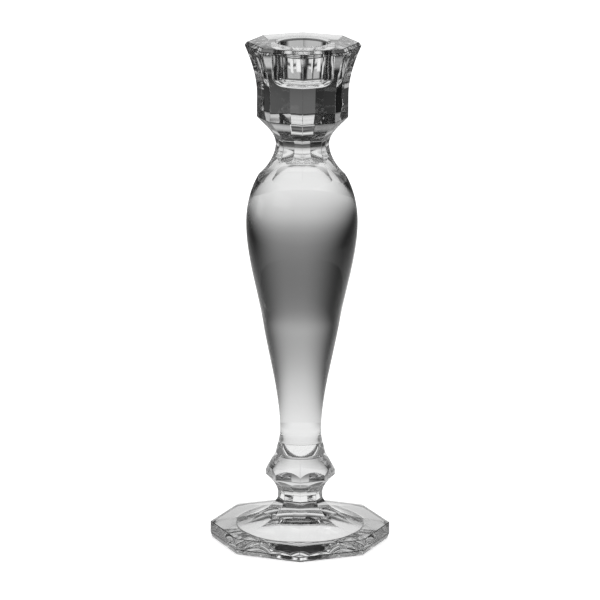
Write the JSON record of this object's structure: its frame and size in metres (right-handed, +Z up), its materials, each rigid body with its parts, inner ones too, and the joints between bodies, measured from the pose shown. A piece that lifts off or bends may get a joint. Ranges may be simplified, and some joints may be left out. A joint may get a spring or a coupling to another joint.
{
  "type": "candlestick",
  "caption": "Tall clear crystal candlestick: octagonal foot and knop, baluster stem and flared octagonal cup with a blind socket that holds a dinner candle upright.",
  "frame": {"origin": "centre of the foot's underside, on the table", "axes": "+Z up along the candlestick's axis; two opposite corners of the cut octagons lie on the X axis and two on the Y axis"},
  "size_m": [0.089, 0.089, 0.25],
  "materials": {
    "crystal": "colourless lead crystal, cut flats and turned faces polished clear",
    "clear_adhesive": "clear light-cured adhesive film, water clear"
  },
  "bodies": {
    "root": {"foot": "crystal", "foot_film": "clear_adhesive", "knop": "crystal", "knop_film": "clear_adhesive", "stem": "crystal", "cup_film": "clear_adhesive", "candle_cup": "crystal"}
  },
  "joints": []
}
